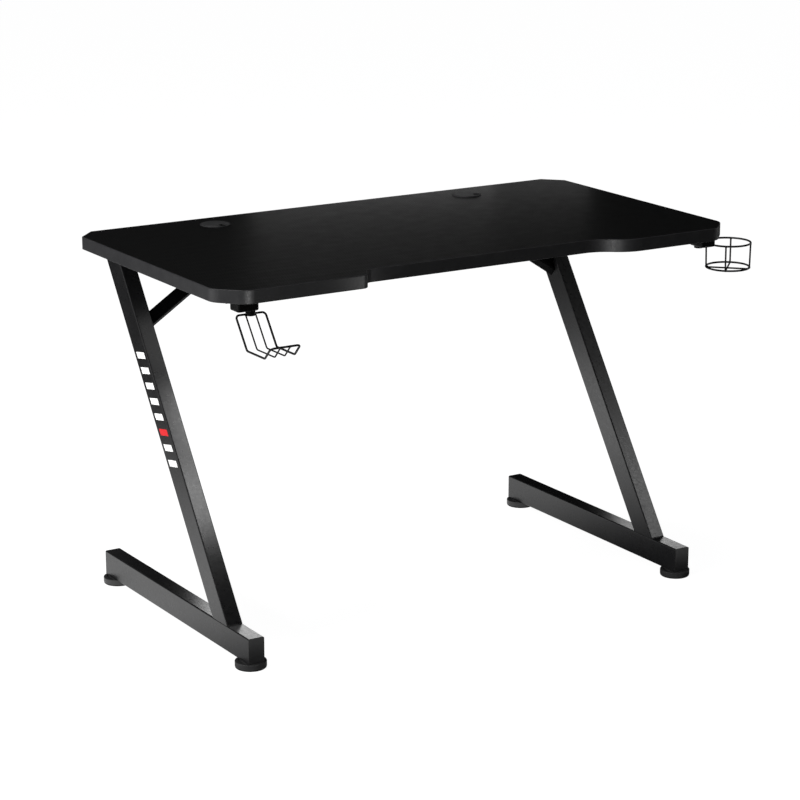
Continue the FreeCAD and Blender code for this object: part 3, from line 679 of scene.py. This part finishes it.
def screw_rings(length):
    """Pan head wood screw, from the point over the head to the bottom of its cross."""
    return [(0.5, -length, None), (1.9, 2.5 - length, None), (1.9, 0.0, None),
            (4.0, 0.0, None), (4.0, 0.4, None), (3.75, 1.1, None), (3.2, 1.7, None), (2.7, 2.05, None),
            (2.3, 2.15, cross_shaped), (1.5, 0.5, cross_shaped), (0.4, 0.2, None)]


print("rings of a bolt:", len(bolt_rings(20.0)), "and of a screw:", len(screw_rings(20.0)))

# %% [markdown]
# The CAD model has a plain solid for each fastener. Its box gives the length and the place of a new one,
# and the side on which the head sits: below for the top's bolts and the bracket screws,
# and on the inner side for the bolts of the rail and the braces.

# %% Bolts and wood screws
head_height = 0.0036
screw_head_height = 0.0022
down = Vector((0, 0, -1))
for node, axis in (("desktop_bolts", 2), ("rail_bolts", 0), ("brace_bolts", 0)):
    bolts = bmesh.new()
    for low, high in solids_of(node):
        middle = (low + high) / 2
        outward = down if axis == 2 else Vector((-1 if middle.x > 0 else 1, 0, 0))
        crown = low[axis] if outward[axis] < 0 else high[axis]
        seat = middle.copy()
        seat[axis] = crown - outward[axis] * head_height
        turn_solid(bolts, seat, outward, bolt_rings((high[axis] - low[axis] - head_height) * 1000.0))
    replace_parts(add_piece(node + "_with_hex_pockets", bolts, black_oxide, "desk_frame"), node)
screws = bmesh.new()
for low, high in solids_of("bracket_screws"):
    middle = (low + high) / 2
    seat = Vector((middle.x, middle.y, low.z + screw_head_height))
    turn_solid(screws, seat, down, screw_rings((high.z - low.z - screw_head_height) * 1000.0), 64)
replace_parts(add_piece("bracket_screws_with_cross", screws, black_oxide, "desk_frame"),
            "bracket_screws")

# %% [markdown]
# The tubes are welded, and under the paint each seam is a bead of small overlapping ripples.
# A bead could be a bump in the paint, but its outline shows from the side, so it is a thin tube along
# the seam whose radius swells at each ripple. Half of it lies inside the tubes that it joins.

# %% Weld beads


def weld_bead(shape, corners, level, radius, closed=False):
    """Adds a rippled bead along straight runs between corners; level is a direction across the bead."""
    ripple, step, sides = 0.0023, 0.00046, 10
    turns = [2 * math.pi * i / sides for i in range(sides)]
    ends = corners + [corners[0]] if closed else corners
    spots = []
    for a, b in zip(ends, ends[1:]):
        count = max(int((b - a).length / step), 1)
        spots += [a.lerp(b, k / count) for k in range(count)]
    if not closed:
        spots.append(ends[-1])
    total = len(spots)
    loops = []
    for k, spot in enumerate(spots):
        before, after = spots[k - 1], spots[(k + 1) % total]
        if not closed:
            before, after = spots[max(k - 1, 0)], spots[min(k + 1, total - 1)]
        ahead = (after - before).normalized()
        across = ahead.cross(level).normalized()
        swell = 0.84 + 0.22 * abs(math.sin(math.pi * k * step / ripple))
        taper = 1.0 if closed else 0.35 + 0.65 * ease(min(k, total - 1 - k), -1.0, 4.0)
        sway = across * (0.00012 * math.sin(k * 0.31))
        reach = radius * swell * taper
        loops.append([shape.verts.new(spot + sway + across * (reach * math.cos(turn))
                                      + level * (reach * math.sin(turn))) for turn in turns])
    pairs = list(zip(loops, loops[1:])) + ([(loops[-1], loops[0])] if closed else [])
    for low, high in pairs:
        for i in range(sides):
            shape.faces.new((low[i], low[(i + 1) % sides], high[(i + 1) % sides], high[i]))
    if not closed:
        shape.faces.new(loops[0])
        shape.faces.new(loops[-1])


def points_at(node, height):
    """Points of a CAD piece that lie in the level plane at a height."""
    same_height = 2e-5
    return [point.co.copy() for point in desk[node].data.vertices if abs(point.co.z - height) < same_height]


def outline_of(points):
    """Outer corners of points in a level plane, in order."""
    flat = sorted({(round(point.x, 6), round(point.y, 6)) for point in points})
    halves = []
    for row in (flat, flat[::-1]):
        half = []
        for spot in row:
            while len(half) > 1 and ((half[-1][0] - half[-2][0]) * (spot[1] - half[-2][1])
                                     - (half[-1][1] - half[-2][1]) * (spot[0] - half[-2][0])) <= 0:
                half.pop()
            half.append(spot)
        halves += half[:-1]
    return [Vector((x, y, points[0].z)) for x, y in halves]


print("bead helpers ready")

# %% [markdown]
# Each side frame has seams across both ends of its upright, around the upper end of its brace
# and at the end of the rail. They follow the measured edges of those pieces.

# %% Beads on the seams
up = Vector((0, 0, 1))
seam_inset = 0.002
upright_foot_bead, upright_top_bead, rail_bead = 0.0015, 0.0020, 0.0018
for side in ("left", "right"):
    beads = bmesh.new()
    low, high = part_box(side + "_upright")
    for height, radius in ((low.z, upright_foot_bead), (high.z, upright_top_bead)):
        ring = points_at(side + "_upright", height)
        for y in (min(point.y for point in ring), max(point.y for point in ring)):
            ends = [Vector((low.x + seam_inset, y, height)), Vector((high.x - seam_inset, y, height))]
            weld_bead(beads, ends, up, radius)
    weld_bead(beads, outline_of(points_at(side + "_brace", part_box("cross_rail")[0].z)), up, rail_bead, True)
    rail_low, rail_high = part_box("cross_rail")
    end_x = rail_low.x if side == "left" else rail_high.x
    for y in (rail_low.y, rail_high.y):
        ends = [Vector((end_x, y, rail_low.z + seam_inset)), Vector((end_x, y, rail_high.z - seam_inset))]
        weld_bead(beads, ends, Vector((1, 0, 0)), rail_bead)
    add_piece(side + "_weld_beads", beads, coat, "desk_frame", 60.0)

# %% [markdown]
# The wires of the basket and of the hook are spot welded where they cross, and the dip coat gathers there
# into a small drop. A fillet between the wires could be modelled, but a ball pulled out of round by a few waves
# and half sunk in the wires looks the same at this size.

# %% Drops on the wire crossings


def coat_drop(shape, place, radius):
    """Adds a ball at place, made uneven by waves of three to seven millimetres."""
    ball = bmesh.ops.create_icosphere(shape, subdivisions=2, radius=radius, matrix=Matrix.Translation(place))
    for point in ball["verts"]:
        offset = point.co - place
        wave = math.sin(2100.0 * offset.x + 900.0 * place.y) + math.sin(1700.0 * offset.y + 1300.0 * offset.z)
        point.co = place + offset * (1.0 + 0.07 * wave)


cup_low, cup_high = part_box("cup_basket")
ring_wire = 0.0020
ring_radius = (cup_high.y - cup_low.y) / 2 - ring_wire
cup_middle = Vector((cup_high.x - ring_radius - ring_wire, (cup_low.y + cup_high.y) / 2,
                     cup_high.z - ring_wire))
basket_height = 0.050
stay_turn = math.radians(45.0)
cup_drop, bottom_drop, hook_drop = 0.0023, 0.0021, 0.0024
drops = bmesh.new()
for k in range(4):
    out_way = Vector((math.cos(stay_turn + k * math.pi / 2), math.sin(stay_turn + k * math.pi / 2), 0))
    coat_drop(drops, cup_middle + out_way * ring_radius - up * 0.0014, cup_drop)
    coat_drop(drops, cup_middle + out_way * (ring_radius - 0.0010) - up * basket_height, cup_drop)
coat_drop(drops, cup_middle - up * (basket_height + 0.0016), bottom_drop)
add_piece("cup_wire_drops", drops, wire, "cup_holder", 80.0)

hook_low, hook_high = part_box("hook_rack")
frame_wire = 0.002
inner_half_spacing = 0.010
drops = bmesh.new()
for x in (-inner_half_spacing, inner_half_spacing):
    middle_x = (hook_low.x + hook_high.x) / 2 + x
    coat_drop(drops, Vector((middle_x, hook_high.y - frame_wire, hook_high.z - frame_wire - 0.0008)), hook_drop)
    tip = max((point.co for point in desk["hook_rack"].data.vertices if point.co.y < hook_low.y + 0.003),
              key=lambda spot: spot.z)
    coat_drop(drops, Vector((middle_x, hook_low.y + frame_wire, tip.z - frame_wire)), hook_drop)
add_piece("hook_wire_drops", drops, wire, "headphone_hook", 80.0)

# %% [markdown]
# A row of slanted bars is printed on the outer face of the left upright, white with one red bar.
# The paint could carry them as a pattern, but ink is a film with an edge of its own, so each bar is a slab with
# a soft edge, sunk a little into the paint and proud of it by less than a fifth of a millimetre.
# The bars lean with the upright, so they are laid out along its length and across its width.

# %% Inks and the lie of the left upright


def ink(name, dark, light):
    """Printed ink of two close tones with a faint tooth."""
    finish, tree, surface, place = new_finish(name, 0.42, 0.4)
    tree.links.new(two_tone(tree, grain(tree, place, 500.0, 3.0), dark, light), surface.inputs["Base Color"])
    tree.links.new(spread(tree, grain(tree, place, 900.0, 2.0), 0.36, 0.50), surface.inputs["Roughness"])
    raise_grain(tree, surface, grain(tree, place, 2200.0, 2.0), 0.01, 0.4)
    return finish


white_ink = ink("white_print", (0.80, 0.80, 0.79), (0.86, 0.86, 0.85))
red_ink = ink("red_print", (0.50, 0.010, 0.014), (0.60, 0.018, 0.022))

low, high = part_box("left_upright")
foot_ring = points_at("left_upright", low.z)
top_ring = points_at("left_upright", high.z)
foot_y = [min(point.y for point in foot_ring), max(point.y for point in foot_ring)]
top_y = [min(point.y for point in top_ring), max(point.y for point in top_ring)]
foot_middle = Vector((low.x, sum(foot_y) / 2, low.z))
along = (Vector((low.x, sum(top_y) / 2, high.z)) - foot_middle).normalized()
across = Vector((0, along.z, -along.y))
print("upright leans by", round(math.degrees(math.acos(along.z)), 1), "degrees")

# %% Printed bars on the left upright
bar_count, bar_pitch, bar_half_width, bar_half_length = 8, 0.032, 0.0068, 0.0150
red_bar = 5
print_height = 0.431
print_middle = foot_middle + along * print_height
slant = math.tan(math.radians(24.0))
film, edge, sunk = 0.00016, 0.00012, 0.0001


def printed_bar(shape, middle):
    """Adds one slanted bar around a middle on the upright's outer face."""
    loops = []
    for depth, inset in ((sunk, 0.0), (-film * 0.6, 0.0), (-film, edge)):
        loop = []
        for u, v in ((-1, -1), (1, -1), (1, 1), (-1, 1)):
            length_way = v * (bar_half_length - inset)
            width_way = u * (bar_half_width - inset) + slant * length_way
            spot = middle + along * width_way + across * length_way + Vector((depth, 0, 0))
            loop.append(shape.verts.new(spot))
        loops.append(loop)
    for a, b in zip(loops, loops[1:]):
        for k in range(4):
            shape.faces.new((a[k], a[(k + 1) % 4], b[(k + 1) % 4], b[k]))
    shape.faces.new(loops[0])
    shape.faces.new(loops[-1])


white_bars, red_bars = bmesh.new(), bmesh.new()
for k in range(bar_count):
    printed_bar(red_bars if k == red_bar else white_bars,
                print_middle + along * ((bar_count - 1) / 2 - k) * bar_pitch)
add_piece("white_printed_bars", white_bars, white_ink, "desk_frame", 20.0)
add_piece("red_printed_bar", red_bars, red_ink, "desk_frame", 20.0)

# %% [markdown]

# %% End
print("desk dressed")
